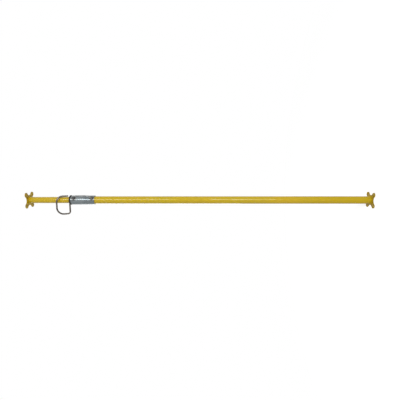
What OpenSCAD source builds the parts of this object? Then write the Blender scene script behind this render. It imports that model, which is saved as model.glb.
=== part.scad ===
// Adjustable steel prop, light duty, with a covered thread.
// It stands upright: the underside of its base plate is z = 0, and the tubes share the Z axis.
// Everything is drawn closed, with the nut wound down and the captive pin pulled out.

/* [Overall] */
// Height of the closed prop, over both end plates
closed_h = 2200; // [1800:10:2600]
// Inner tube that shows between the head plate and the nut when closed
inner_showing = 270; // [240:1:330]

/* [End plates] */
// Side of the square that the four lobes reach
plate_size = 100; // [96:1:130]
// Thickness of each end plate
plate_t = 5; // [3:0.5:8]
// Radius of each lobe
lobe_r = 15; // [12:0.5:17]
// Width of the plate across the middle, between two opposite scoops
plate_waist = 62; // [61:1:70]
// Nail and bolt hole in each lobe
lobe_hole_d = 9; // [5:0.5:12]
// Distance between two neighbouring lobe holes
lobe_hole_span = 66; // [60:1:74]
// Hole in the middle of each end plate, which drains the tube
drain_hole_d = 20; // [10:1:30]
// Leg of the weld between a tube and its plate
weld_leg = 5; // [3:0.5:6]

/* [Tubes] */
// Outside of the outer tube
outer_d = 48.3; // [47:0.1:50]
// Wall of the outer tube
outer_wall = 2; // [1.6:0.1:2.4]
// Outside of the inner tube
inner_d = 40; // [38:0.5:41]
// Wall of the inner tube
inner_wall = 2; // [1.6:0.1:4]
// Distance between two pin holes
hole_pitch = 100; // [80:1:105]
// Pin hole in the inner tube
hole_d = 12; // [11:0.5:15]
// Least overlap of the two tubes when fully drawn out
min_overlap = 150; // [120:5:400]
// Length of the bushes that guide and stop the inner tube
bush_len = 15; // [8:1:25]

/* [Nut] */
// Length of the threaded sleeve
sleeve_len = 145; // [140:1:180]
// Wall of the sleeve
sleeve_wall = 2.5; // [2:0.1:4]
// Thickness of the threaded collar on the outer tube
collar_wall = 2; // [1.5:0.1:3]
// Thickness of the ring that closes the top of the sleeve
cap_t = 6; // [4:0.5:9]
// Step from the sleeve in to its top ring
cap_step = 1; // [0.5:0.1:2]
// Thickness of the ring that keeps the sleeve on its collar
keeper_t = 4; // [3:0.5:6]
// Bevel on the outer edges of the sleeve and the rings
edge_bevel = 0.8; // [0.4:0.1:1.2]

/* [Nut handles] */
// Round bar of the handles
handle_d = 8; // [6:0.5:10]
// How far a handle stands out from the sleeve
handle_reach = 42; // [34:1:50]
// Distance from the middle of a handle's foot to the end of the sleeve
foot_inset = 15; // [12:0.5:24]
// Bend of a handle corner, to the middle of the bar
handle_bend = 12; // [8:1:16]
// Angle of the handles about the prop
handle_angle = -60; // [-90:1:90]
// Leg of the weld bead round each foot
bead_leg = 4; // [2:0.5:6]

/* [Thrust ring] */
// Outside of the loose ring between the pin and the nut
ring_d = 62; // [54:1:66]
// Thickness of the ring
ring_t = 8; // [5:0.5:10]

/* [Captive pin] */
// Round bar of the pin
pin_d = 10; // [8:0.5:10.5]
// Bevel on the two cut ends of the bar
pin_tip = 1.5; // [0.5:0.1:2.5]
// How far the leg stands out of the tube when pushed in
pin_nose = 10; // [8:1:18]
// Width of the bail, from the leg to the back
bail_h = 78; // [70:1:98]
// Bend at the end of the leg, to the middle of the bar
knee_bend = 14; // [12:1:24]
// Bend at the back of the bail
back_bend = 42; // [30:1:50]
// Bend at the hook of the bail
hook_bend = 36; // [25:1:45]
// Lean of the bail from level
bail_lean = 60; // [50:1:70]
// Gap between the leg and the open end of the bail
bail_mouth = 8; // [6:1:14]

/* [Clearances] */
// Running gap between curved faces
run_gap = 0.3; // [0.25:0.05:0.4]
// Gap between faces that rest on each other
seat_gap = 0.3; // [0.2:0.05:0.4]
// Gap round the inner tube in the nut's top ring
cap_gap = 0.5; // [0.4:0.1:0.8]
// Gap round the inner tube in the loose ring
ring_gap = 0.8; // [0.5:0.1:0.9]
// Gap at each end of the nut's travel
travel_gap = 1; // [0.5:0.1:2]
// Gap between the pulled pin and the inner tube
pull_gap = 2; // [1.5:0.5:5]

/* [Hidden] */
$fn = 96;

// radii
outer_r = outer_d / 2;
outer_bore_r = outer_r - outer_wall;
inner_r = inner_d / 2;
inner_bore_r = inner_r - inner_wall;
collar_r = outer_r + collar_wall;
sleeve_bore_r = collar_r + run_gap;
sleeve_r = sleeve_bore_r + sleeve_wall;

// heights of the nut, which is drawn at the bottom of its travel
nut_top_z = closed_h - plate_t - inner_showing;
cap_z = nut_top_z - cap_t;
sleeve_z = cap_z - sleeve_len;
keeper_top_z = sleeve_z + keeper_t;
nut_travel = hole_pitch;

// the outer tube ends with its collar just under the nut's top ring
outer_top_z = cap_z - travel_gap;
collar_z = keeper_top_z + nut_travel + travel_gap;
collar_len = outer_top_z - collar_z;

// the inner tube stands just above the base plate
inner_z = plate_t + seat_gap;
inner_top_z = closed_h - plate_t;
hole_steps = floor((outer_top_z - inner_z - min_overlap) / hole_pitch);
draw_out = hole_steps * hole_pitch;
stop_bush_z = outer_top_z - bush_len;
stop_ring_z = stop_bush_z - travel_gap - draw_out - bush_len;

// the loose ring lies on the nut, and the pin lies on the ring
ring_z = nut_top_z + seat_gap;
pin_z = ring_z + ring_t + seat_gap + pin_d / 2;

// flower outline of the end plates: each scoop is tangent to two lobes
lobe_at = plate_size / 2 - lobe_r;
half_waist = plate_waist / 2;
scoop_r = (pow(lobe_at - half_waist, 2) + pow(lobe_at, 2) - pow(lobe_r, 2))
    / (2 * (lobe_r + lobe_at - half_waist));
scoop_at = half_waist + scoop_r;
lobe_share = lobe_r / (lobe_r + scoop_r);
touch = [lobe_at + (scoop_at - lobe_at) * lobe_share, lobe_at * (1 - lobe_share)];

// handle bar, in the plane through the prop's axis: its legs lean by 7 in 24, a slope
// with round sines, and its corners keep to tenths, so that the bar's pieces meet
grip_r = sleeve_r + handle_reach - handle_d / 2;
nut_mid_z = sleeve_z + sleeve_len / 2;
leg_slope = 7 / 24;
leg_way = [24, 7] / 25;
leg_len = ceil((grip_r - sleeve_r + handle_d) / leg_way.x);
grip_z = round(10 * (sleeve_len / 2 - foot_inset - leg_slope * (grip_r - sleeve_r))) / 10;
foot_z = grip_z + leg_slope * (grip_r - sleeve_r);
leg_end = [grip_r - leg_len * leg_way.x, grip_z + leg_len * leg_way.y];
handle_path = [[leg_end.x, -leg_end.y], [grip_r, -grip_z], [grip_r, grip_z], leg_end];
handle_bends = [handle_bend, handle_bend];

// captive pin, pulled out by its full stroke
pin_stroke = pin_nose + inner_d + pull_gap;
nose_x = -inner_r - pull_gap;
hook_x = inner_r + pull_gap + pin_d / 2;
knee_x = -inner_r - pin_stroke - pull_gap - knee_bend;
hook_end = bail_mouth + pin_tip;
pin_path = [[nose_x - pin_tip, 0], [knee_x, 0], [knee_x, bail_h], [hook_x, bail_h], [hook_x, hook_end]];
pin_bends = [knee_bend, back_bend, hook_bend];

// ---- general shapes ----

function unit(v) = v / norm(v);
function heading(path, i) = unit(path[i + 1] - path[i]);
function turn(path, i) =
    let (a = heading(path, i - 1), b = heading(path, i))
    atan2(a.x * b.y - a.y * b.x, a.x * b.x + a.y * b.y);
function cut_back(path, bends, i) =
    (i == 0 || i == len(path) - 1) ? 0 : bends[i - 1] * tan(abs(turn(path, i)) / 2);

// A round bar bent along a flat path, with one bend radius for each corner.
// No corner turns by more than a quarter, and each is cut from a quarter bend.
module bent_bar(path, bends, bar_d) {
    for (i = [0 : len(path) - 2]) {
        way = heading(path, i);
        from = path[i] + way * cut_back(path, bends, i);
        to = path[i + 1] - way * cut_back(path, bends, i + 1);
        translate([from.x, from.y, 0])
            rotate([0, 90, atan2(way.y, way.x)])
            cylinder(d = bar_d, h = norm(to - from));
    }
    for (i = [1 : len(path) - 2]) {
        angle = turn(path, i);
        way = heading(path, i - 1);
        from = path[i] - way * cut_back(path, bends, i);
        middle = from + sign(angle) * bends[i - 1] * [-way.y, way.x];
        translate([middle.x, middle.y, 0])
            rotate([0, 0, atan2(way.y, way.x)])
            mirror([0, angle > 0 ? 0 : 1, 0])
            rotate([0, 0, -90])
            corner_bend(abs(angle), bends[i - 1], bar_d);
    }
}

module corner_bend(angle, bend, bar_d) {
    reach = bend + bar_d;
    difference() {
        rotate_extrude(angle = 90)
            translate([bend, 0])
            circle(d = bar_d);
        if (angle < 89.99)
            rotate([0, 0, angle])
            translate([0, 0, -bar_d])
            cube([reach, reach, 2 * bar_d]);
    }
}

// A ring with its four edges beveled on the outside only.
module beveled_ring(outside_r, bore_r, height) {
    rotate_extrude()
        polygon([
            [bore_r, 0],
            [outside_r - edge_bevel, 0],
            [outside_r, edge_bevel],
            [outside_r, height - edge_bevel],
            [outside_r - edge_bevel, height],
            [bore_r, height]
        ]);
}

module plain_ring(outside_r, bore_r, height) {
    difference() {
        cylinder(r = outside_r, h = height);
        translate([0, 0, -1])
            cylinder(r = bore_r, h = height + 2);
    }
}

// A hollow fillet weld round a tube, standing on z = 0.
module fillet_weld(tube_r) {
    rotate_extrude()
        difference() {
            translate([tube_r, 0])
                square(weld_leg);
            translate([tube_r + weld_leg * 1.1, weld_leg * 1.1])
                circle(r = weld_leg);
        }
}

module plate_outline() {
    difference() {
        union() {
            polygon([
                [touch.x, touch.y], [touch.y, touch.x], [-touch.y, touch.x], [-touch.x, touch.y],
                [-touch.x, -touch.y], [-touch.y, -touch.x], [touch.y, -touch.x], [touch.x, -touch.y]
            ]);
            for (x = [-lobe_at, lobe_at], y = [-lobe_at, lobe_at])
                translate([x, y])
                circle(r = lobe_r);
        }
        for (a = [0 : 90 : 270])
            rotate(a)
            translate([scoop_at, 0])
            circle(r = scoop_r);
    }
}

// The same pressing closes both ends.
module end_plate() {
    linear_extrude(plate_t)
        difference() {
            plate_outline();
            circle(d = drain_hole_d);
            for (x = [-1, 1], y = [-1, 1])
                translate([x, y] * lobe_hole_span / 2)
                circle(d = lobe_hole_d);
        }
}

// ---- outer tube and base ----

module base_plate() {
    color("goldenrod")
        end_plate();
}

module base_weld() {
    color("goldenrod")
        translate([0, 0, plate_t])
        fillet_weld(outer_r);
}

module outer_tube() {
    color("goldenrod")
        translate([0, 0, plate_t])
        plain_ring(outer_r, outer_bore_r, outer_top_z - plate_t);
}

// Threaded collar that the nut runs on. It always stays inside the sleeve.
module thread_collar() {
    color("dimgray")
        translate([0, 0, collar_z])
        plain_ring(collar_r, outer_r, collar_len);
}

module stop_bush() {
    color("dimgray")
        translate([0, 0, stop_bush_z])
        plain_ring(outer_bore_r, inner_r + run_gap, bush_len);
}

// ---- nut ----

module nut_sleeve() {
    color("lightsteelblue")
        translate([0, 0, sleeve_z])
        beveled_ring(sleeve_r, sleeve_bore_r, sleeve_len);
}

module nut_top_ring() {
    color("lightsteelblue")
        translate([0, 0, cap_z])
        beveled_ring(sleeve_r - cap_step, inner_r + cap_gap, cap_t);
}

module nut_keeper_ring() {
    color("slategray")
        translate([0, 0, sleeve_z])
        plain_ring(sleeve_bore_r, outer_r + run_gap, keeper_t);
}

// One handle, with its two feet cut to the sleeve.
module handle(side) {
    color("silver")
        translate([0, 0, nut_mid_z])
        rotate([0, 0, handle_angle + side])
        difference() {
            rotate([90, 0, 0])
                bent_bar(handle_path, handle_bends, handle_d);
            cylinder(r = sleeve_r, h = 2 * sleeve_len, center = true);
        }
}

module handle_front() {
    handle(0);
}

module handle_back() {
    handle(180);
}

// The bead round the upper foot of a handle, cut to the sleeve and bored for the bar.
module foot_bead() {
    difference() {
        translate([sleeve_r, 0, foot_z])
            rotate([0, 90 + atan(leg_slope), 0])
            difference() {
                translate([0, 0, -bead_leg])
                    cylinder(r1 = handle_d / 2 + bead_leg, r2 = handle_d / 2 + bead_leg / 8, h = 2 * bead_leg);
                cylinder(d = handle_d, h = 4 * bead_leg, center = true);
            }
        cylinder(r = sleeve_r, h = 2 * sleeve_len, center = true);
    }
}

module handle_welds() {
    color("silver")
        translate([0, 0, nut_mid_z])
        for (side = [0, 180], end = [0, 1])
            rotate([0, 0, handle_angle + side])
            mirror([0, 0, end])
            foot_bead();
}

// ---- loose ring and pin ----

module thrust_ring() {
    color("dimgray")
        translate([0, 0, ring_z])
        beveled_ring(ring_d / 2, inner_r + ring_gap, ring_t);
}

module pin_end() {
    cylinder(d1 = pin_d, d2 = pin_d - 2 * pin_tip, h = pin_tip);
}

module captive_pin() {
    color("gray")
        translate([0, 0, pin_z])
        rotate([180 - bail_lean, 0, 0]) {
            bent_bar(pin_path, pin_bends, pin_d);
            translate([nose_x - pin_tip, 0, 0])
                rotate([0, 90, 0])
                pin_end();
            translate([hook_x, hook_end, 0])
                rotate([90, 0, 0])
                pin_end();
        }
}

// ---- inner tube and head ----

module inner_tube() {
    color("goldenrod")
        difference() {
            translate([0, 0, inner_z])
                plain_ring(inner_r, inner_bore_r, inner_top_z - inner_z);
            for (i = [-hole_steps : 1])
                translate([0, 0, pin_z + i * hole_pitch])
                rotate([0, 90, 0])
                cylinder(d = hole_d, h = 2 * inner_d, center = true);
        }
}

module guide_bush() {
    color("dimgray")
        translate([0, 0, inner_z])
        plain_ring(outer_bore_r - run_gap, inner_r, bush_len);
}

module stop_ring() {
    color("dimgray")
        translate([0, 0, stop_ring_z])
        plain_ring(outer_bore_r - run_gap, inner_r, bush_len);
}

module head_plate() {
    color("goldenrod")
        translate([0, 0, inner_top_z])
        end_plate();
}

module head_weld() {
    color("goldenrod")
        translate([0, 0, inner_top_z])
        mirror([0, 0, 1])
        fillet_weld(inner_r);
}

base_plate();
base_weld();
outer_tube();
thread_collar();
stop_bush();
nut_sleeve();
nut_top_ring();
nut_keeper_ring();
handle_front();
handle_back();
handle_welds();
thrust_ring();
captive_pin();
inner_tube();
guide_bush();
stop_ring();
head_plate();
head_weld();
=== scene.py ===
import math
import random

import bmesh
import bpy
from mathutils import Matrix, Vector, noise


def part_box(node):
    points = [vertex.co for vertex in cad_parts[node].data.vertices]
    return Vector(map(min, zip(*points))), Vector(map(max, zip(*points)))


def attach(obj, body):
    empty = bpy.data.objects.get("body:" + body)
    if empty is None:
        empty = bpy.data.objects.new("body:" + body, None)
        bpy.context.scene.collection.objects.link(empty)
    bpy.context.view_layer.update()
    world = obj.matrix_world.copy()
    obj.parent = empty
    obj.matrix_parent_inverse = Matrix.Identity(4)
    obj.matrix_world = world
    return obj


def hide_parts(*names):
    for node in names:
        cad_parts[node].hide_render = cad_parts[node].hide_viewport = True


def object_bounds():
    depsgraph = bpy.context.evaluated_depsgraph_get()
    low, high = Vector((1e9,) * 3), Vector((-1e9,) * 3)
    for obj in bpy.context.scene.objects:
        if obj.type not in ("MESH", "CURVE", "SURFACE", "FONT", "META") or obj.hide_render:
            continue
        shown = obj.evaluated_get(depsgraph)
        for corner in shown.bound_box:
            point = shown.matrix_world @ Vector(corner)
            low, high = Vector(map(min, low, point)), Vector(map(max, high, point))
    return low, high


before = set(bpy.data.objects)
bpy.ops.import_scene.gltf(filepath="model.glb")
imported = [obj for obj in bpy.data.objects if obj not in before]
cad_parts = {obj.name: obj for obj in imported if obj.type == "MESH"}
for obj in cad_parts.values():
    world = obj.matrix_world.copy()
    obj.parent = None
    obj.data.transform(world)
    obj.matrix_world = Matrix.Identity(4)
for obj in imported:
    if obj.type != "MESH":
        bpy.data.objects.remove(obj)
cadBox = [list(corner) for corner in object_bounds()]
mm = 0.001
print("prop: packed model loaded")

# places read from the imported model, in metres
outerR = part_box("outer_tube")[1].x
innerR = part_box("inner_tube")[1].x
sleeveLow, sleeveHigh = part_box("nut_sleeve")
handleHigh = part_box("handle_front")[1]
collarLow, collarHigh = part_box("thread_collar")
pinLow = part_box("captive_pin")[0]
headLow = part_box("head_plate")[0]
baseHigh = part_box("base_plate")[1]
sleeveR = sleeveHigh.y
nutMidZ = (sleeveLow.z + sleeveHigh.z) / 2


# camera: the prop lies across the frame, seen square on and a little from above

cameraView = {
    "distance": 2.06,
    "above": math.radians(7.5),
    "fieldOfView": math.radians(64),
    "sensor": 36,
    "aim": (0, 0, (cadBox[0][2] + cadBox[1][2]) / 2),
}


def standAt(thing, place, right, back):
    # a camera or a lamp at a place, looking away from back, with right at its right
    turned = Matrix((right, back.cross(right), back)).transposed().to_4x4()
    thing.matrix_world = Matrix.Translation(place) @ turned


def makeCamera():
    settings = bpy.data.cameras.new("propCamera")
    settings.sensor_width = cameraView["sensor"]
    settings.lens = cameraView["sensor"] / 2 / math.tan(cameraView["fieldOfView"] / 2)
    camera = bpy.data.objects.new("propCamera", settings)
    bpy.context.scene.collection.objects.link(camera)
    back = Vector((math.sin(cameraView["above"]), -math.cos(cameraView["above"]), 0))
    right = Vector((0, 0, -1))  # the head of the prop is at the left
    standAt(camera, Vector(cameraView["aim"]) + back * cameraView["distance"], right, back)
    bpy.context.scene.camera = camera


makeCamera()
print("prop: camera placed")


# nodes for materials

def feed(tree, socket, value):
    # a socket takes a link or a plain value
    if isinstance(value, bpy.types.NodeSocket):
        tree.links.new(value, socket)
    else:
        socket.default_value = value


def addNode(tree, kind, inputs=None, **settings):
    made = tree.nodes.new("ShaderNode" + kind)
    for key, value in settings.items():
        setattr(made, key, value)
    for key, value in (inputs or {}).items():
        feed(tree, made.inputs[key], value)
    return made


def maths(tree, operation, first, second=0.0, clamp=False):
    return addNode(tree, "Math", {0: first, 1: second}, operation=operation, use_clamp=clamp).outputs[0]


def plus(tree, value, mask, weight, clamp=False):
    # value, and weight more of it where the mask is one
    return maths(tree, "ADD", value, maths(tree, "MULTIPLY", mask, weight), clamp)


def ramp(tree, value, low, high, fromValue=0.0, toValue=1.0, kind="SMOOTHSTEP"):
    # a step of value, from low to high
    limits = {"Value": value, "From Min": low, "From Max": high, "To Min": fromValue, "To Max": toValue}
    return addNode(tree, "MapRange", limits, interpolation_type=kind).outputs[0]


def mixColour(tree, share, first, second, blend="MIX"):
    made = tree.nodes.new("ShaderNodeMix")
    made.data_type = "RGBA"
    made.blend_type = blend
    for socket, value in ((0, share), (6, first), (7, second)):
        feed(tree, made.inputs[socket], (*value, 1) if isinstance(value, tuple) else value)
    return made.outputs[2]


def objectPlace(tree):
    return addNode(tree, "TexCoord").outputs["Object"]


def noiseOf(tree, place, scale, detail, roughness=0.5):
    return addNode(tree, "TexNoise", {"Vector": place, "Scale": scale, "Detail": detail,
                                      "Roughness": roughness}).outputs[0]


def lengthOf(tree, vector):
    return addNode(tree, "VectorMath", {0: vector}, operation="LENGTH").outputs["Value"]


# shader groups that the finishes share, whose noises are given as scale, detail and roughness,
# or as the last two where the group is told the scale

def startGroup(name, inputs, outputs):
    # a shader group with number or vector inputs and number outputs
    tree = bpy.data.node_groups.new(name, "ShaderNodeTree")
    for socketName, start in inputs.items():
        kind = "NodeSocketVector" if isinstance(start, tuple) else "NodeSocketFloat"
        tree.interface.new_socket(socketName, in_out="INPUT", socket_type=kind).default_value = start
    for socketName in outputs:
        tree.interface.new_socket(socketName, in_out="OUTPUT", socket_type="NodeSocketFloat")
    return tree, tree.nodes.new("NodeGroupInput").outputs, tree.nodes.new("NodeGroupOutput").inputs


def useGroup(tree, name, **inputs):
    made = tree.nodes.new("ShaderNodeGroup")
    made.node_tree = bpy.data.node_groups[name]
    for key, value in inputs.items():
        feed(tree, made.inputs[key], value)
    return made.outputs


skinGrain = {
    "waves": (2.0, 0.45),
    "slow": (1.0,),
    "patches": (38.0, 4.0, 0.6),
    "toneStep": (0.3, 0.7),
    "mottleStep": (0.25, 0.75),
}


def makeSkinGroup():
    # the fine waves of a sprayed or plated skin, its slow change of tone along the prop, and its patches
    tree, given, out = startGroup("skinGrain", {"Scale": 400.0, "Tone Scale": 3.0},
                                  ("Height", "Tone", "Mottle"))
    place = objectPlace(tree)
    waves = noiseOf(tree, place, given["Scale"], *skinGrain["waves"])
    slow = noiseOf(tree, place, given["Tone Scale"], *skinGrain["slow"])
    patches = noiseOf(tree, place, *skinGrain["patches"])
    tree.links.new(waves, out["Height"])
    tree.links.new(ramp(tree, slow, *skinGrain["toneStep"]), out["Tone"])
    tree.links.new(ramp(tree, patches, *skinGrain["mottleStep"]), out["Mottle"])


looseDust = {
    "patches": (5.0, 0.65),
    "step": (0.42, 0.72),
    "onTop": 0.6,             # the share of it that only faces that look up have
}


def makeDustGroup():
    # dust that gathers in patches, thickest on faces that look up
    tree, given, out = startGroup("looseDust", {"Amount": 0.3, "Scale": 60.0}, ("Mask",))
    facing = addNode(tree, "SeparateXYZ", {0: addNode(tree, "NewGeometry").outputs["Normal"]}).outputs["Z"]
    patches = noiseOf(tree, objectPlace(tree), given["Scale"], *looseDust["patches"])
    onTop = maths(tree, "MULTIPLY", facing, looseDust["onTop"], True)
    lying = maths(tree, "ADD", onTop, 1 - looseDust["onTop"])
    spread = maths(tree, "MULTIPLY", ramp(tree, patches, *looseDust["step"]), lying)
    tree.links.new(maths(tree, "MULTIPLY", spread, given["Amount"], True), out["Mask"])


longStreaks = {"marks": (1.0, 3.0, 0.6)}


def makeStreakGroup():
    # long thin rub and draw marks along the prop
    tree, given, out = startGroup("longStreaks", {"Scale": 260.0, "Stretch": 0.03, "From": 0.55, "To": 0.7},
                                  ("Mask", "Height"))
    along = addNode(tree, "CombineXYZ", {0: given["Scale"], 1: given["Scale"],
                                         2: maths(tree, "MULTIPLY", given["Scale"], given["Stretch"])})
    laid = addNode(tree, "VectorMath", {0: objectPlace(tree), 1: along.outputs[0]}, operation="MULTIPLY")
    marks = noiseOf(tree, laid.outputs[0], *longStreaks["marks"])
    tree.links.new(ramp(tree, marks, given["From"], given["To"], kind="LINEAR"), out["Mask"])
    tree.links.new(marks, out["Height"])


roundSpot = {"edge": (420.0, 3.0)}


def makeSpotGroup():
    # one at a point, falling to nothing at its radius, with a ragged edge
    tree, given, out = startGroup("roundSpot", {"Centre": (0.0, 0.0, 0.0), "Radius": 0.01, "Inner": 0.5,
                                                "Ragged": 0.3}, ("Mask",))
    place = objectPlace(tree)
    away = addNode(tree, "VectorMath", {0: place, 1: given["Centre"]}, operation="DISTANCE").outputs["Value"]
    share = maths(tree, "DIVIDE", away, given["Radius"])
    edge = maths(tree, "SUBTRACT", noiseOf(tree, place, *roundSpot["edge"]), 0.5)
    share = plus(tree, share, edge, given["Ragged"])
    tree.links.new(ramp(tree, share, given["Inner"], 1.0, 1.0, 0.0), out["Mask"])


def makeShellGroup():
    # one inside a radius about the prop's axis: the bores, which the paint doesn't reach
    tree, given, out = startGroup("insideShell", {"Radius": 0.02, "Soft": 0.0002}, ("Mask",))
    place = addNode(tree, "SeparateXYZ", {0: objectPlace(tree)}).outputs
    flat = addNode(tree, "CombineXYZ", {0: place["X"], 1: place["Y"]})
    away = lengthOf(tree, flat.outputs[0])
    inner = maths(tree, "SUBTRACT", given["Radius"], given["Soft"])
    tree.links.new(ramp(tree, away, inner, given["Radius"], 1.0, 0.0, "LINEAR"), out["Mask"])


brokenWear = {
    "grain": (4.0, 0.7),
    "patches": (45.0, 2.0),
    "grainShare": 0.5,
    "chipStep": (0.86, 0.92),
    "haloStep": (0.74, 0.9),
}


def makeWearGroup():
    # chips and rubs: how worn a place is, broken up by a grain
    tree, given, out = startGroup("brokenWear", {"Worn": 0.0, "Scale": 300.0, "Amount": 0.5},
                                  ("Mask", "Halo"))
    place = objectPlace(tree)
    grain = noiseOf(tree, place, given["Scale"], *brokenWear["grain"])
    patches = noiseOf(tree, place, *brokenWear["patches"])
    both = maths(tree, "MULTIPLY", grain, brokenWear["grainShare"])
    both = plus(tree, both, patches, 1 - brokenWear["grainShare"])
    level = maths(tree, "MULTIPLY", given["Worn"], maths(tree, "ADD", both, given["Amount"]))
    tree.links.new(ramp(tree, level, *brokenWear["chipStep"]), out["Mask"])
    tree.links.new(ramp(tree, level, *brokenWear["haloStep"]), out["Halo"])


tubeSeam = {
    "wander": (9.0, 2.0),
    "wanderBy": 1.2 * mm,
}


def makeSeamGroup():
    # one along the scarfed seam of a welded tube, a narrow line at one side of it
    tree, given, out = startGroup("tubeSeam", {"Radius": 0.02, "Turn": 0.0, "Width": 0.0016}, ("Mask",))
    where = objectPlace(tree)
    place = addNode(tree, "SeparateXYZ", {0: where}).outputs
    wander = maths(tree, "SUBTRACT", noiseOf(tree, where, *tubeSeam["wander"]), 0.5)
    angle = maths(tree, "ARCTAN2", place["Y"], place["X"])
    aside = maths(tree, "MULTIPLY", maths(tree, "SUBTRACT", angle, given["Turn"]), given["Radius"])
    aside = plus(tree, aside, wander, tubeSeam["wanderBy"])
    away = maths(tree, "ABSOLUTE", aside)
    tree.links.new(ramp(tree, away, 0.0, given["Width"], 1.0, 0.0), out["Mask"])


for makeGroup in (makeSkinGroup, makeDustGroup, makeStreakGroup, makeSpotGroup, makeShellGroup,
                  makeWearGroup, makeSeamGroup):
    makeGroup()
print("prop: shader groups made")


# finishes

def startMaterial(name, even):
    # an empty material with one Principled shader, whose even values are set on its own sockets
    material = bpy.data.materials.new(name)
    material.use_nodes = True
    tree = material.node_tree
    tree.nodes.clear()
    shader = addNode(tree, "BsdfPrincipled", even)
    tree.links.new(shader.outputs[0], addNode(tree, "OutputMaterial").inputs["Surface"])
    return material, tree, shader.inputs


def setBump(tree, shader, height, strength, distance):
    bump = addNode(tree, "Bump", {"Height": height, "Strength": strength, "Distance": distance})
    tree.links.new(bump.outputs[0], shader["Normal"])


def rimWorn(tree):
    # how worn a place is for being near a rim, kept in the piece's own attribute
    return addNode(tree, "Attribute", attribute_name="rimWear").outputs["Fac"]


yellowPaint = {
    "warm": (0.635, 0.420, 0.0015),
    "green": (0.575, 0.415, 0.002),
    "shade": 0.95,            # how far the mottle darkens the paint
    "dust": (0.46, 0.40, 0.27),
    # grime: the colour of a dirt film, which also serves as painted shade on the plates and welds
    "grimeAndShade": (0.180, 0.090, 0.004),
    "rubbed": (0.50, 0.36, 0.07),
    "steel": (0.20, 0.19, 0.18),
    "rust": (0.23, 0.085, 0.03),
    "mill": ((0.10, 0.085, 0.075), (0.19, 0.16, 0.135)),  # the bare bore, dark and light
    "roughness": (0.29, 0.19),  # in the dull patches and the bright ones
    "specular": 0.04,
    "coat": 1.0,
    "coatIor": 1.37,
    "coatRoughness": 0.10,
    "skin": {"Scale": 240.0, "Tone Scale": 2.6},
    "dustLaid": {"Amount": 0.14, "Scale": 70.0},
    "rimChips": {"Scale": 320.0, "Amount": 0.56},
    "holeChips": {"Scale": 420.0, "Amount": 0.45},
    "rubMarks": {"Scale": 330.0, "Stretch": 0.02, "From": 0.6, "To": 0.74},
    "grimeAndShadeFilm": (1.3, 0.7),  # how thick the film of dirt and painted shade is in the patches and between them
    "grimeAndShadeDulls": 1.4,        # how much of the clear coat the film takes away
    "rougher": {"dust": 0.5, "rub": 0.25, "halo": 0.25, "bore": 0.35},
    "metal": {"chip": 0.85, "bore": 0.6},
    "depth": 0.10 * mm,       # what the next three are shares of
    "peelHeight": 0.07,
    "chipDepth": 0.7,
    "seamDepth": 0.35,
}


def makeYellowPaint(name, boreRadius=0.0, rims=False, holes=False, rub=0.0, grimeAndShade=0.0, seam=None):
    paint, rougher = yellowPaint, yellowPaint["rougher"]
    material, tree, shader = startMaterial(name, {
        "Specular IOR Level": paint["specular"],
        "Coat Weight": paint["coat"] * (1 - paint["grimeAndShadeDulls"] * grimeAndShade),
        "Coat IOR": paint["coatIor"],
        "Coat Roughness": paint["coatRoughness"],
    })
    skin = useGroup(tree, "skinGrain", **paint["skin"])
    dust = useGroup(tree, "looseDust", **paint["dustLaid"])["Mask"]
    colour = mixColour(tree, skin["Tone"], paint["warm"], paint["green"])
    darker = mixColour(tree, skin["Mottle"], (paint["shade"],) * 3, (1.0, 1.0, 1.0))
    colour = mixColour(tree, 1.0, colour, darker, "MULTIPLY")
    if grimeAndShade:  # handled and dropped pieces keep a film of dirt, thicker in patches; the same dark film also paints shade onto the plates and welds
        grimeAndShadeMask = ramp(tree, skin["Mottle"], 0.0, 1.0, *(thick * grimeAndShade for thick in paint["grimeAndShadeFilm"]))
        colour = mixColour(tree, grimeAndShadeMask, colour, paint["grimeAndShade"])
    colour = mixColour(tree, dust, colour, paint["dust"])
    rough = ramp(tree, skin["Mottle"], 0.0, 1.0, *paint["roughness"])
    rough = plus(tree, rough, dust, rougher["dust"])
    metal = 0.0
    worn = []
    if rims:
        worn.append(useGroup(tree, "brokenWear", Worn=rimWorn(tree), **paint["rimChips"]))
    if holes:
        worn.append(useGroup(tree, "brokenWear", Worn=holeRims(tree), **paint["holeChips"]))
    if rub:
        marks = useGroup(tree, "longStreaks", **paint["rubMarks"])["Mask"]
        rubbed = maths(tree, "MULTIPLY", marks, rub)
        colour = mixColour(tree, rubbed, colour, paint["rubbed"])
        rough = plus(tree, rough, rubbed, rougher["rub"])
    for wear in worn:
        colour = mixColour(tree, wear["Halo"], colour, paint["rust"])
        colour = mixColour(tree, wear["Mask"], colour, paint["steel"])
        rough = plus(tree, rough, wear["Halo"], rougher["halo"])
        metal = maths(tree, "MAXIMUM", metal, maths(tree, "MULTIPLY", wear["Mask"], paint["metal"]["chip"]))
    if boreRadius:
        bare = useGroup(tree, "insideShell", Radius=boreRadius)["Mask"]
        colour = mixColour(tree, bare, colour, mixColour(tree, skin["Mottle"], *paint["mill"]))
        rough = plus(tree, rough, bare, rougher["bore"])
        metal = maths(tree, "MAXIMUM", metal, maths(tree, "MULTIPLY", bare, paint["metal"]["bore"]))
    tree.links.new(colour, shader["Base Color"])
    tree.links.new(rough, shader["Roughness"])
    if isinstance(metal, bpy.types.NodeSocket):
        tree.links.new(metal, shader["Metallic"])
    height = maths(tree, "MULTIPLY", skin["Height"], paint["peelHeight"])
    for wear in worn:  # the chips lie a coat of paint deeper
        height = plus(tree, height, wear["Mask"], -paint["chipDepth"])
    if seam:
        line = useGroup(tree, "tubeSeam", **seam)["Mask"]
        height = plus(tree, height, line, -paint["seamDepth"])
    setBump(tree, shader, height, 1.0, paint["depth"])
    return material


holeRow = {
    "pitch": 0.1,
    "above": 1,               # holes above the pin
    "below": 30,              # pitches from the pin down to where the count starts, past the tube's end
    "radius": 6 * mm,
    "wornTo": 9 * mm,
}


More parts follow.
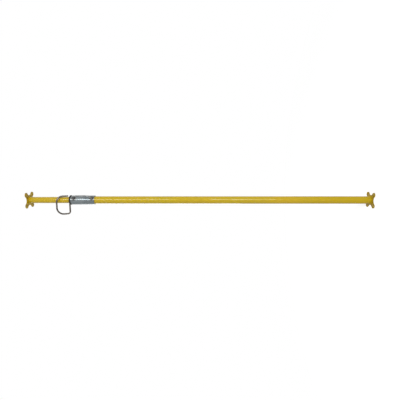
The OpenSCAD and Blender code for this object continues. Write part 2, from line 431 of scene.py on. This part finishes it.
def holeRims(tree):
    # nearness to the rim of a pin hole, which all lie along X and repeat up the tube
    pitch = holeRow["pitch"]
    place = addNode(tree, "SeparateXYZ", {0: objectPlace(tree)}).outputs
    shifted = maths(tree, "SUBTRACT", place["Z"], pinAxisZ - (holeRow["below"] + 0.5) * pitch)
    inRow = maths(tree, "SUBTRACT", maths(tree, "MODULO", shifted, pitch), pitch / 2)
    away = lengthOf(tree, addNode(tree, "CombineXYZ", {0: place["Y"], 1: inRow}).outputs[0])
    inside = maths(tree, "LESS_THAN", place["Z"], pinAxisZ + (holeRow["above"] + 0.5) * pitch)
    near = ramp(tree, away, holeRow["radius"], holeRow["wornTo"], 1.0, 0.0)
    return maths(tree, "MULTIPLY", near, inside)


zinc = {
    "bright": (0.275, 0.308, 0.320),
    "dull": (0.104, 0.127, 0.138),
    "polished": (0.62, 0.66, 0.67),
    # colours that darken the sleeve round each handle foot, brownish in a wide ring and near black close in
    "footRingDark": (0.120, 0.098, 0.062),
    "footCoreDark": (0.018, 0.020, 0.026),
    "dust": (0.30, 0.28, 0.25),
    "roughness": (0.18, 0.33),
    "skin": {"Scale": 260.0, "Tone Scale": 22.0},
    "toneShare": 0.45,
    "drawMarks": {"Scale": 260.0, "Stretch": 0.02, "From": 0.36, "To": 0.68},
    "dustLaid": {"Amount": 0.35, "Scale": 90.0},
    "footRingDarkSpot": {"Radius": 19 * mm, "Inner": 0.55, "Ragged": 0.25},
    "footCoreDarkSpot": {"Radius": 14.5 * mm, "Inner": 0.62, "Ragged": 0.3},
    "footRingDarkShare": 0.65,
    "footCoreDarkShare": 0.9,
    "rimShine": {"Scale": 240.0, "Amount": 0.62},
    "dustRougher": 0.4,
    "skinHeight": 0.3,
    "bump": (0.12, 0.08 * mm),  # strength and distance
}


def makeZincSleeve(name):
    material, tree, shader = startMaterial(name, {"Metallic": 1.0})
    skin = useGroup(tree, "skinGrain", **zinc["skin"])
    streaks = useGroup(tree, "longStreaks", **zinc["drawMarks"])
    dust = useGroup(tree, "looseDust", **zinc["dustLaid"])["Mask"]
    colour = mixColour(tree, streaks["Mask"], zinc["bright"], zinc["dull"])
    colour = mixColour(tree, maths(tree, "MULTIPLY", skin["Tone"], zinc["toneShare"]), colour, zinc["dull"])
    for foot in handleFeet:  # the sleeve is darker round each welded foot, brownish in a wide ring and near black close in
        for footDarkening in ("footRingDark", "footCoreDark"):
            spot = useGroup(tree, "roundSpot", Centre=tuple(foot), **zinc[footDarkening + "Spot"])["Mask"]
            share = maths(tree, "MULTIPLY", spot, zinc[footDarkening + "Share"])
            colour = mixColour(tree, share, colour, zinc[footDarkening])
    shine = useGroup(tree, "brokenWear", Worn=rimWorn(tree), **zinc["rimShine"])["Halo"]
    colour = mixColour(tree, shine, colour, zinc["polished"])
    colour = mixColour(tree, dust, colour, zinc["dust"])
    rough = ramp(tree, skin["Mottle"], 0.0, 1.0, *zinc["roughness"])
    rough = plus(tree, rough, dust, zinc["dustRougher"])
    tree.links.new(colour, shader["Base Color"])
    tree.links.new(rough, shader["Roughness"])
    height = plus(tree, streaks["Height"], skin["Height"], zinc["skinHeight"])
    setBump(tree, shader, height, *zinc["bump"])
    return material


mottledMetal = {
    "metals": {               # bright metal, dull metal and roughness
        "handleZinc": ((0.25, 0.26, 0.26), (0.13, 0.135, 0.135), 0.28),
        "beadZinc": ((0.115, 0.118, 0.120), (0.050, 0.051, 0.053), 0.30),
        "pinSteel": ((0.105, 0.094, 0.082), (0.042, 0.037, 0.032), 0.22),
        "oiledSteel": ((0.22, 0.20, 0.17), (0.09, 0.08, 0.07), 0.3),
    },
    "cut": (0.50, 0.50, 0.48),
    "dust": (0.26, 0.22, 0.18),
    "skin": {"Scale": 500.0, "Tone Scale": 40.0},
    "mottled": (0.12, -0.04),  # what dull and bright patches add to the roughness
    "rubs": {"Worn": 1.0, "Scale": 210.0, "Amount": 0.36},
    "rubShare": 0.7,
    "rubBrighter": 1.5,
    "cutSpot": {"Radius": 5.6 * mm, "Inner": 0.8, "Ragged": 0.15},
    "cutSmoother": 0.12,
    "dustLaid": {"Amount": 0.3, "Scale": 120.0},
    "dustRougher": 0.3,
    "bump": (0.35, 0.15 * mm),  # strength and distance
}


def makeMottledMetal(name, cutEnds=()):
    # bars and plain turned steel: patchy, with rubs that shine and bright cut ends
    bright, dull, roughness = mottledMetal["metals"][name]
    material, tree, shader = startMaterial(name, {"Metallic": 1.0})
    skin = useGroup(tree, "skinGrain", **mottledMetal["skin"])
    rubs = useGroup(tree, "brokenWear", **mottledMetal["rubs"])["Halo"]
    dust = useGroup(tree, "looseDust", **mottledMetal["dustLaid"])["Mask"]
    colour = mixColour(tree, skin["Mottle"], dull, bright)
    shiny = tuple(mottledMetal["rubBrighter"] * part for part in bright)
    colour = mixColour(tree, maths(tree, "MULTIPLY", rubs, mottledMetal["rubShare"]), colour, shiny)
    rough = ramp(tree, skin["Mottle"], 0.0, 1.0, *(roughness + more for more in mottledMetal["mottled"]))
    for centre in cutEnds:
        spot = useGroup(tree, "roundSpot", Centre=centre, **mottledMetal["cutSpot"])["Mask"]
        colour = mixColour(tree, spot, colour, mottledMetal["cut"])
        rough = plus(tree, rough, spot, -mottledMetal["cutSmoother"], True)
    colour = mixColour(tree, dust, colour, mottledMetal["dust"])
    rough = plus(tree, rough, dust, mottledMetal["dustRougher"])
    tree.links.new(colour, shader["Base Color"])
    tree.links.new(rough, shader["Roughness"])
    setBump(tree, shader, skin["Mottle"], *mottledMetal["bump"])
    return material


darkRing = {
    "black": ((0.006, 0.006, 0.007), (0.020, 0.018, 0.016)),
    "thin": (0.07, 0.06, 0.05),  # where the black is worn thin
    "bare": (0.24, 0.22, 0.20),
    "dust": (0.12, 0.10, 0.08),
    "roughness": (0.42, 0.58),
    "specular": 0.25,
    "metal": 0.8,
    "skin": {"Scale": 600.0, "Tone Scale": 30.0},
    "rubs": {"Worn": 1.0, "Scale": 260.0, "Amount": 0.26},
    "rimChips": {"Scale": 300.0, "Amount": 0.50},
    "dustLaid": {"Amount": 0.16, "Scale": 150.0},
    "bump": (0.5, 0.3 * mm),  # strength and distance
}


def makeDarkRing(name):
    material, tree, shader = startMaterial(name, {"Specular IOR Level": darkRing["specular"]})
    skin = useGroup(tree, "skinGrain", **darkRing["skin"])
    rubs = useGroup(tree, "brokenWear", **darkRing["rubs"])
    dust = useGroup(tree, "looseDust", **darkRing["dustLaid"])["Mask"]
    bare = useGroup(tree, "brokenWear", Worn=rimWorn(tree), **darkRing["rimChips"])["Mask"]
    colour = mixColour(tree, skin["Mottle"], *darkRing["black"])
    colour = mixColour(tree, rubs["Halo"], colour, darkRing["thin"])
    colour = mixColour(tree, bare, colour, darkRing["bare"])
    colour = mixColour(tree, dust, colour, darkRing["dust"])
    worn = maths(tree, "MAXIMUM", rubs["Mask"], bare)
    tree.links.new(colour, shader["Base Color"])
    tree.links.new(ramp(tree, skin["Mottle"], 0.0, 1.0, *darkRing["roughness"]), shader["Roughness"])
    tree.links.new(maths(tree, "MULTIPLY", worn, darkRing["metal"]), shader["Metallic"])
    setBump(tree, shader, skin["Mottle"], *darkRing["bump"])
    return material


# the middle of each handle foot, on the face of the sleeve, and the cut ends of the pin

handleFoot = {"turn": math.radians(-60), "barRadius": 4 * mm, "slope": 7 / 24}
footLean = math.sqrt(1 + handleFoot["slope"] ** 2)  # how much longer a leaning bar's cut is
footRise = handleHigh.z - nutMidZ - handleFoot["barRadius"] * footLean
handleFeet = [
    Vector((math.cos(handleFoot["turn"] + side) * sleeveR, math.sin(handleFoot["turn"] + side) * sleeveR,
            nutMidZ + end * footRise))
    for side in (0, math.pi) for end in (1, -1)
]

captivePin = {
    "barRadius": 5 * mm,
    "cutEnds": ((-22 * mm, 0, 0), (27 * mm, -4 * mm, 6.9 * mm)),  # from where the leg crosses the axis
}
pinAxisZ = pinLow.z + captivePin["barRadius"]
pinEnds = [(x, y, pinAxisZ + z) for x, y, z in captivePin["cutEnds"]]

yellowPaints = {              # where each is bare, worn, rubbed, or grimy and darkened with painted shade, and where a tube's seam runs
    "outerTubePaint": {"boreRadius": 22.6 * mm, "rub": 0.15, "seam": {"Radius": outerR, "Turn": 2.6}},
    "innerTubePaint": {"boreRadius": 18.6 * mm, "holes": True, "rub": 0.45,
                       "seam": {"Radius": innerR, "Turn": 0.9}},
    # the grime on the plates and welds is partly real dirt and partly painted shade
    "platePaint": {"rims": True, "grimeAndShade": 0.42},
    "weldPaint": {"grimeAndShade": 0.36},
}
paints = {name: makeYellowPaint(name, **settings) for name, settings in yellowPaints.items()}
sleeveZinc = makeZincSleeve("sleeveZinc")
handleZinc = makeMottledMetal("handleZinc")
beadZinc = makeMottledMetal("beadZinc")
pinSteel = makeMottledMetal("pinSteel", pinEnds)
oiledSteel = makeMottledMetal("oiledSteel")
ringBlack = makeDarkRing("ringBlack")

finishes = {
    "outer_tube": paints["outerTubePaint"],
    "inner_tube": paints["innerTubePaint"],
    "nut_keeper_ring": oiledSteel,
    "handle_front": handleZinc,
    "handle_back": handleZinc,
    "captive_pin": pinSteel,
    "stop_bush": oiledSteel,
    "guide_bush": oiledSteel,
    "stop_ring": oiledSteel,
}
for nodeName, material in finishes.items():
    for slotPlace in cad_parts[nodeName].material_slots:
        slotPlace.material = material
print("prop: finishes made and laid on the packed pieces")


# modelling helpers

def takeUp(obj):
    # obj alone is selected and active, in object mode
    if bpy.context.object and bpy.context.object.mode != "OBJECT":
        bpy.ops.object.mode_set(mode="OBJECT")
    bpy.ops.object.select_all(action="DESELECT")
    if obj:
        obj.select_set(True)
        bpy.context.view_layer.objects.active = obj


def openEdit(obj):
    # obj alone is in edit mode, selected all over
    takeUp(obj)
    bpy.ops.object.mode_set(mode="EDIT")
    bpy.ops.mesh.select_all(action="SELECT")


def applyModifier(obj, kind, name, **settings):
    takeUp(obj)
    made = obj.modifiers.new(name, kind)
    for key, value in settings.items():
        setattr(made, key, value)
    bpy.ops.object.modifier_apply(modifier=made.name)


def finishPiece(obj, material, body, slotName, *nodes, smooth=35):
    # normals out, smooth but for edges of more degrees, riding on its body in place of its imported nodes
    openEdit(obj)
    bpy.ops.mesh.normals_make_consistent(inside=False)
    takeUp(obj)
    bpy.ops.object.shade_smooth_by_angle(angle=math.radians(smooth))
    obj.data.materials.clear()
    obj.data.materials.append(material)
    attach(obj, body)
    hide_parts(*nodes)


# the flat and turned pieces, whose edges are eased and worn

easedEdge = {
    "steps": 3,
    "merge": 0.004 * mm,
    "flat": math.radians(1),
    "sharp": math.radians(40),
    "worn": (1.6, 0.6),       # how fast the wear fades, from where the surface looks up by this much
}
easedPieces = {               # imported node, body, slot, finish, how far its edges are eased
    "basePlatePressing": ("base_plate", "outer_body", "yellow_paint", paints["platePaint"], 0.9 * mm),
    "headPlatePressing": ("head_plate", "inner_body", "yellow_paint", paints["platePaint"], 0.9 * mm),
    "nutSleeveTurned": ("nut_sleeve", "nut_body", "zinc_sleeve", sleeveZinc, 0.8 * mm),
    "nutCapTurned": ("nut_top_ring", "nut_body", "zinc_sleeve", sleeveZinc, 0.7 * mm),
    "thrustRingForged": ("thrust_ring", "ring_body", "dark_ring", ringBlack, 1.3 * mm),
}


def makeEasedPiece(name, node, body, slotName, material, width):
    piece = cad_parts[node].copy()
    piece.data = piece.data.copy()
    piece.name = name
    piece.parent = None
    for key in list(piece.keys()):
        del piece[key]
    bpy.context.scene.collection.objects.link(piece)
    openEdit(piece)
    bpy.ops.mesh.customdata_custom_splitnormals_clear()
    bpy.ops.mesh.remove_doubles(threshold=easedEdge["merge"])
    bpy.ops.mesh.dissolve_limited(angle_limit=easedEdge["flat"])
    applyModifier(piece, "BEVEL", "easedEdge", width=width, segments=easedEdge["steps"],
                  limit_method="ANGLE", angle_limit=easedEdge["sharp"])
    rim = piece.data.attributes.new("rimWear", "FLOAT", "POINT")
    fade, tilt = easedEdge["worn"]
    for vertex in piece.data.vertices:  # worn where the surface turns over the edge
        rim.data[vertex.index].value = max(0.0, 1 - fade * abs(abs(vertex.normal.z) - tilt))
    finishPiece(piece, material, body, slotName, node)
    applyModifier(piece, "WEIGHTED_NORMAL", "flatFaces", keep_sharp=True)


for name, values in easedPieces.items():
    makeEasedPiece(name, *values)
print("prop: end plates, nut sleeve, cap and ring made")


# weld beads between the tubes and the plates

tubeWeld = {
    "middle": 1.3 * mm,       # the middle of the bead, out of the corner both ways
    "radius": 3.3 * mm,
    "ripple": 2.3 * mm,       # from one ripple to the next
    "rippleHeight": 0.32 * mm,
    "crescent": 0.9,          # how far a ripple bows, in ripples
    "waver": 0.45 * mm,
    "waverScale": 160,
    "stopLump": 0.6 * mm,     # where the bead ends over its own start
    "stopAngle": 2.2,
    "stopWidth": 0.09,
    "around": 256,            # the most that a torus can have
    "across": 20,
    "smooth": 50,
}
tubeWelds = {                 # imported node, radius of the tube, face of the plate, way along Z, body, seed
    "baseWeldBead": ("base_weld", outerR, baseHigh.z, 1, "outer_body", 3.1),
    "headWeldBead": ("head_weld", innerR, headLow.z, -1, "inner_body", 8.4),
}


rippleLean = 0.65             # the further under one, the sooner a ripple is at its height


def rippleShare(turns):
    # one ripple of a bead: it rises fast and falls slowly
    part = turns - math.floor(turns)
    return math.sin(math.pi * part ** rippleLean)


def makeTubeWeld(name, node, tubeR, cornerZ, way, body, seed):
    takeUp(None)
    ringR = tubeR + tubeWeld["middle"]
    bpy.ops.mesh.primitive_torus_add(location=(0, 0, 0), major_radius=ringR,
                                     minor_radius=tubeWeld["radius"], major_segments=tubeWeld["around"],
                                     minor_segments=tubeWeld["across"])
    bead = bpy.context.object
    bead.name = name
    count = round(2 * math.pi * ringR / tubeWeld["ripple"])
    scale = tubeWeld["waverScale"]
    for vertex in bead.data.vertices:
        x, y, up = vertex.co
        angle = math.atan2(y, x)
        out = math.hypot(x, y) - ringR
        around = math.atan2(up, out) - math.pi / 4  # from the middle of the bead's face
        turns = angle * count / (2 * math.pi) + tubeWeld["crescent"] * math.cos(around)
        fromStop = (angle - tubeWeld["stopAngle"]) / tubeWeld["stopWidth"]
        lift = tubeWeld["rippleHeight"] * rippleShare(turns)
        lift += tubeWeld["waver"] * noise.noise(Vector((x * scale + seed, y * scale, around)))
        lift += tubeWeld["stopLump"] * math.exp(-fromStop ** 2)
        grown = 1 + lift / tubeWeld["radius"]
        wide = ringR + out * grown
        vertex.co = (math.cos(angle) * wide, math.sin(angle) * wide,
                     cornerZ + way * (tubeWeld["middle"] + up * grown))
    finishPiece(bead, paints["weldPaint"], body, "yellow_paint", node, smooth=tubeWeld["smooth"])


for name, values in tubeWelds.items():
    makeTubeWeld(name, *values)
print("prop: tube welds made")


# weld beads and spatter at the feet of the nut handles

footWeld = {
    "middle": 1.5 * mm,       # the middle of the bead, out of the bar's face
    "radius": 2.3 * mm,
    "lift": 0.5 * mm,         # the middle of the bead, out of the sleeve's face
    "ripples": 13,
    "rippleHeight": 0.35 * mm,
    "crescent": 0.12,         # how far a ripple bows, in ripples for each millimetre across
    "waver": 0.55 * mm,
    "waverScale": 220,
    "waverApart": 4.0,        # so that no two feet waver alike
    "around": 156,
    "across": 18,
    "spatter": 9,             # beads of spatter round each foot
    "spatterSize": (0.35 * mm, 0.8 * mm),
    "spatterReach": (10 * mm, 19 * mm),
    "spatterRise": 10 * mm,   # no further along the sleeve, so that it stays on it
    "spatterProud": 0.2,      # how far out its middle lies, as a share of its size
    "seed": 7,
    "smooth": 50,
}


def ontoSleeve(foot, end, across, up, out):
    # a place beside a foot, out from the curved face of the sleeve, leaning with the bar
    angle = math.atan2(foot.y, foot.x)
    away = math.sqrt(sleeveR ** 2 - across ** 2) + out
    return Vector((math.cos(angle) * away - math.sin(angle) * across,
                   math.sin(angle) * away + math.cos(angle) * across,
                   foot.z + up - end * handleFoot["slope"] * out))


def makeFootBead(index, foot, end, start):
    middleR = handleFoot["barRadius"] + footWeld["middle"]
    bpy.ops.mesh.primitive_torus_add(location=(0, 0, 0), major_radius=middleR,
                                     minor_radius=footWeld["radius"], major_segments=footWeld["around"],
                                     minor_segments=footWeld["across"])
    bead = bpy.context.object
    scale, apart = footWeld["waverScale"], footWeld["waverApart"] * index
    for vertex in bead.data.vertices:
        x, y, z = vertex.co
        angle = math.atan2(y, x)
        wide = math.hypot(x, y) - middleR
        turns = (angle + start) * footWeld["ripples"] / (2 * math.pi) + footWeld["crescent"] * wide / mm
        lift = footWeld["rippleHeight"] * rippleShare(turns)
        lift += footWeld["waver"] * noise.noise(Vector((x * scale, y * scale, apart)))
        grown = 1 + lift / footWeld["radius"]
        reach = middleR + wide * grown
        vertex.co = ontoSleeve(foot, end, math.cos(angle) * reach, math.sin(angle) * reach * footLean,
                               footWeld["lift"] + z * grown)
    return bead


def makeSpatter(foot, end, draw):
    rise = footWeld["spatterRise"]
    size = draw.uniform(*footWeld["spatterSize"])
    angle, reach = draw.uniform(0, 2 * math.pi), draw.uniform(*footWeld["spatterReach"])
    up = max(-rise, min(rise, math.sin(angle) * reach))
    place = ontoSleeve(foot, end, math.cos(angle) * reach, up, footWeld["spatterProud"] * size)
    bpy.ops.mesh.primitive_ico_sphere_add(subdivisions=2, radius=size, location=place)
    bpy.ops.object.transform_apply(location=True, rotation=True, scale=True)
    return bpy.context.object


def makeFootWelds():
    takeUp(None)
    draw = random.Random(footWeld["seed"])
    parts = []
    for index, foot in enumerate(handleFeet):
        end = 1 if foot.z > nutMidZ else -1
        start = draw.uniform(0, 2 * math.pi)
        parts.append(makeFootBead(index, foot, end, start))
        for _ in range(footWeld["spatter"]):
            parts.append(makeSpatter(foot, end, draw))
    bpy.ops.object.select_all(action="DESELECT")
    for part in parts:
        part.select_set(True)
    bpy.context.view_layer.objects.active = parts[0]
    bpy.ops.object.join()
    welds = bpy.context.object
    welds.name = "handleFootWelds"
    finishPiece(welds, beadZinc, "nut_body", "zinc_bar", "handle_welds", smooth=footWeld["smooth"])


makeFootWelds()
print("prop: handle welds made")


# the thread that the nut runs on, cut on the collar of the outer tube

collarThread = {
    "pitch": 8 * mm,
    "root": 25.0 * mm,
    "flank": 1.1 * mm,
    "crest": 2.6 * mm,
    "steps": 64,
    "turns": 7,
    "merge": 0.01 * mm,
    "smooth": 30,
}


def drawThreadOutline(thread):
    # the plane becomes one point, drawn out into the outline of one turn
    pitch, flank, crest = (collarThread[key] for key in ("pitch", "flank", "crest"))
    depth = collarHigh.x - collarThread["root"]
    valley = pitch - crest - 2 * flank
    openEdit(thread)
    bpy.ops.mesh.merge(type="CENTER")
    bpy.ops.transform.translate(value=(collarThread["root"], 0, collarLow.z - pitch))
    for out, up in ((0, valley / 2), (depth, flank), (0, crest), (-depth, flank), (0, valley / 2)):
        bpy.ops.mesh.extrude_region_move(TRANSFORM_OT_translate={"value": (out, 0, up)})


def closeThreadEnds(thread):
    # the two cut ends are turned in to the tube and joined along it
    bpy.ops.mesh.select_all(action="DESELECT")
    mesh = bmesh.from_edit_mesh(thread.data)
    for edge in mesh.edges:
        if edge.is_boundary:
            edge.select_set(True)
    bmesh.update_edit_mesh(thread.data)
    bpy.ops.mesh.extrude_edges_move(TRANSFORM_OT_translate={"value": (0, 0, 0)})
    mesh = bmesh.from_edit_mesh(thread.data)
    for vertex in mesh.verts:
        if vertex.select:
            away = math.hypot(vertex.co.x, vertex.co.y)
            vertex.co.x *= outerR / away
            vertex.co.y *= outerR / away
    bmesh.update_edit_mesh(thread.data)
    bpy.ops.mesh.bridge_edge_loops()


def makeCollarThread():
    takeUp(None)
    steps, merge = collarThread["steps"], collarThread["merge"]
    bpy.ops.mesh.primitive_plane_add(size=1 * mm, location=(0, 0, 0))
    thread = bpy.context.object
    thread.name = "collarThread"
    drawThreadOutline(thread)
    applyModifier(thread, "SCREW", "turns", axis="Z", screw_offset=collarThread["pitch"],
                  iterations=collarThread["turns"], steps=steps, render_steps=steps,
                  use_merge_vertices=True, merge_threshold=merge)
    openEdit(thread)
    bpy.ops.mesh.remove_doubles(threshold=merge)
    for level, side in ((collarLow.z, {"clear_inner": True}), (collarHigh.z, {"clear_outer": True})):
        bpy.ops.mesh.select_all(action="SELECT")
        bpy.ops.mesh.bisect(plane_co=(0, 0, level), plane_no=(0, 0, 1), **side)
    closeThreadEnds(thread)
    finishPiece(thread, oiledSteel, "outer_body", "plain_steel", "thread_collar",
                smooth=collarThread["smooth"])


makeCollarThread()
print("prop: collar thread made")


# floor, background and light

studio = {
    "floorSize": 30.0,
    "floorDrop": 0.2 * mm,    # how far the floor lies under the prop
    "floorFade": (0.5, 2.2),  # the floor seen turns to plain white this far from the prop
    "floorColour": (0.86, 0.86, 0.86),
    "floorGlow": 0.50,        # seen by the camera only
    "ambient": 0.34,
    "white": 1.0,
}
softBoxes = {                 # place, the height it faces, size across and up the prop, brightness
    "headSoftBox": ((0.86, -2.06, 2.25), 2.25, (0.56, 1.60), 8.2),
    "footSoftBox": ((0.86, -2.06, 0.52), 0.52, (0.56, 0.90), 8.5),
    "backSoftBox": ((-1.9, 1.7, 1.6), 1.6, (1.60, 2.20), 2.3),
    "topSoftBox": ((0.7, -0.9, 5.4), 2.2, (1.80, 1.80), 3.6),
}


def seenAsBackground(tree):
    # one for the rays that show the background: straight to the camera, mirrored or seen through something
    path = addNode(tree, "LightPath").outputs
    mirrored = maths(tree, "MAXIMUM", path["Is Glossy Ray"], path["Is Transmission Ray"])
    return maths(tree, "MAXIMUM", path["Is Camera Ray"], mirrored)


def whiteLight(tree, kind, strength):
    return addNode(tree, kind, {"Color": (1, 1, 1, 1), "Strength": strength}).outputs[0]


def makeFloor():
    takeUp(None)
    bpy.ops.mesh.primitive_plane_add(size=studio["floorSize"], location=(0, 0, -studio["floorDrop"]))
    floor = bpy.context.object
    floor.name = "studioFloor"
    material = bpy.data.materials.new("studioFloor")
    material.use_nodes = True
    tree = material.node_tree
    tree.nodes.clear()
    paint = addNode(tree, "BsdfDiffuse", {"Color": (*studio["floorColour"], 1)})
    straight = addNode(tree, "LightPath").outputs["Is Camera Ray"]
    glow = whiteLight(tree, "Emission", maths(tree, "MULTIPLY", straight, studio["floorGlow"]))
    near = addNode(tree, "AddShader", {0: paint.outputs[0], 1: glow})
    far = whiteLight(tree, "Emission", studio["white"])
    fade = ramp(tree, lengthOf(tree, objectPlace(tree)), *studio["floorFade"])
    fade = maths(tree, "MULTIPLY", seenAsBackground(tree), fade)
    both = addNode(tree, "MixShader", {0: fade, 1: near.outputs[0], 2: far})
    tree.links.new(both.outputs[0], addNode(tree, "OutputMaterial").inputs["Surface"])
    floor.data.materials.append(material)


def makeWorld():
    world = bpy.data.worlds.new("studioWorld")
    bpy.context.scene.world = world
    world.use_nodes = True
    tree = world.node_tree
    tree.nodes.clear()
    strength = ramp(tree, seenAsBackground(tree), 0.0, 1.0, studio["ambient"], studio["white"], "LINEAR")
    light = whiteLight(tree, "Background", strength)
    tree.links.new(light, addNode(tree, "OutputWorld").inputs["Surface"])


def makeSoftBox(name, place, facing, size, brightness):
    settings = bpy.data.lights.new(name, "AREA")
    settings.shape = "RECTANGLE"
    settings.size, settings.size_y = size
    settings.energy = math.pi * size[0] * size[1] * brightness
    lamp = bpy.data.objects.new(name, settings)
    bpy.context.scene.collection.objects.link(lamp)
    out = (Vector(place) - Vector((0, 0, facing))).normalized()  # it faces the prop's axis
    standAt(lamp, place, Vector((0, 0, 1)).cross(out).normalized(), out)


makeFloor()
makeWorld()
for name, values in softBoxes.items():
    makeSoftBox(name, *values)
bpy.context.scene.view_settings.view_transform = "Standard"
print("prop: studio made")
